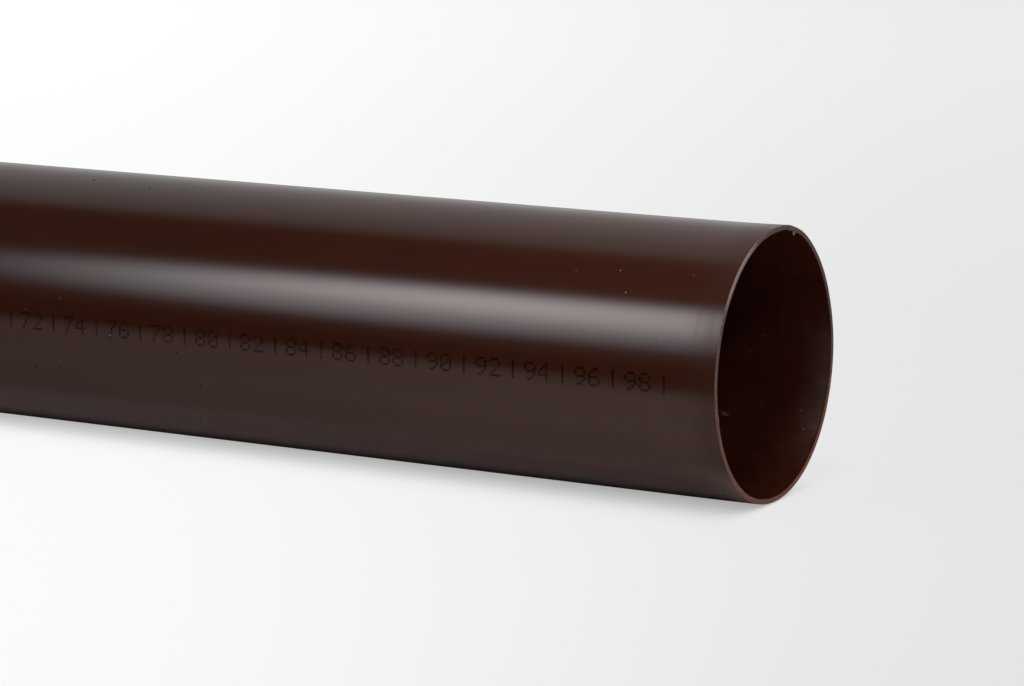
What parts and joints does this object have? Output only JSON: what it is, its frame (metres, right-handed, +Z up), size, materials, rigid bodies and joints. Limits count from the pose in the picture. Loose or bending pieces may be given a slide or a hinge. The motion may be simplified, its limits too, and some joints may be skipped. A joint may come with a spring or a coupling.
{
  "type": "pvc downpipe",
  "caption": "Straight round thin-walled plastic rainwater pipe with plain square-cut ends, lying on its side.",
  "frame": {"origin": "on the floor under the middle of the pipe's length and width", "axes": "+X along the pipe's axis towards one cut end, +Y across it, +Z up"},
  "size_m": [1, 0.0998, 0.1],
  "materials": {
    "brown_pvc": "gloss"
  },
  "bodies": {
    "root": {"downpipe": "brown_pvc"}
  },
  "joints": []
}
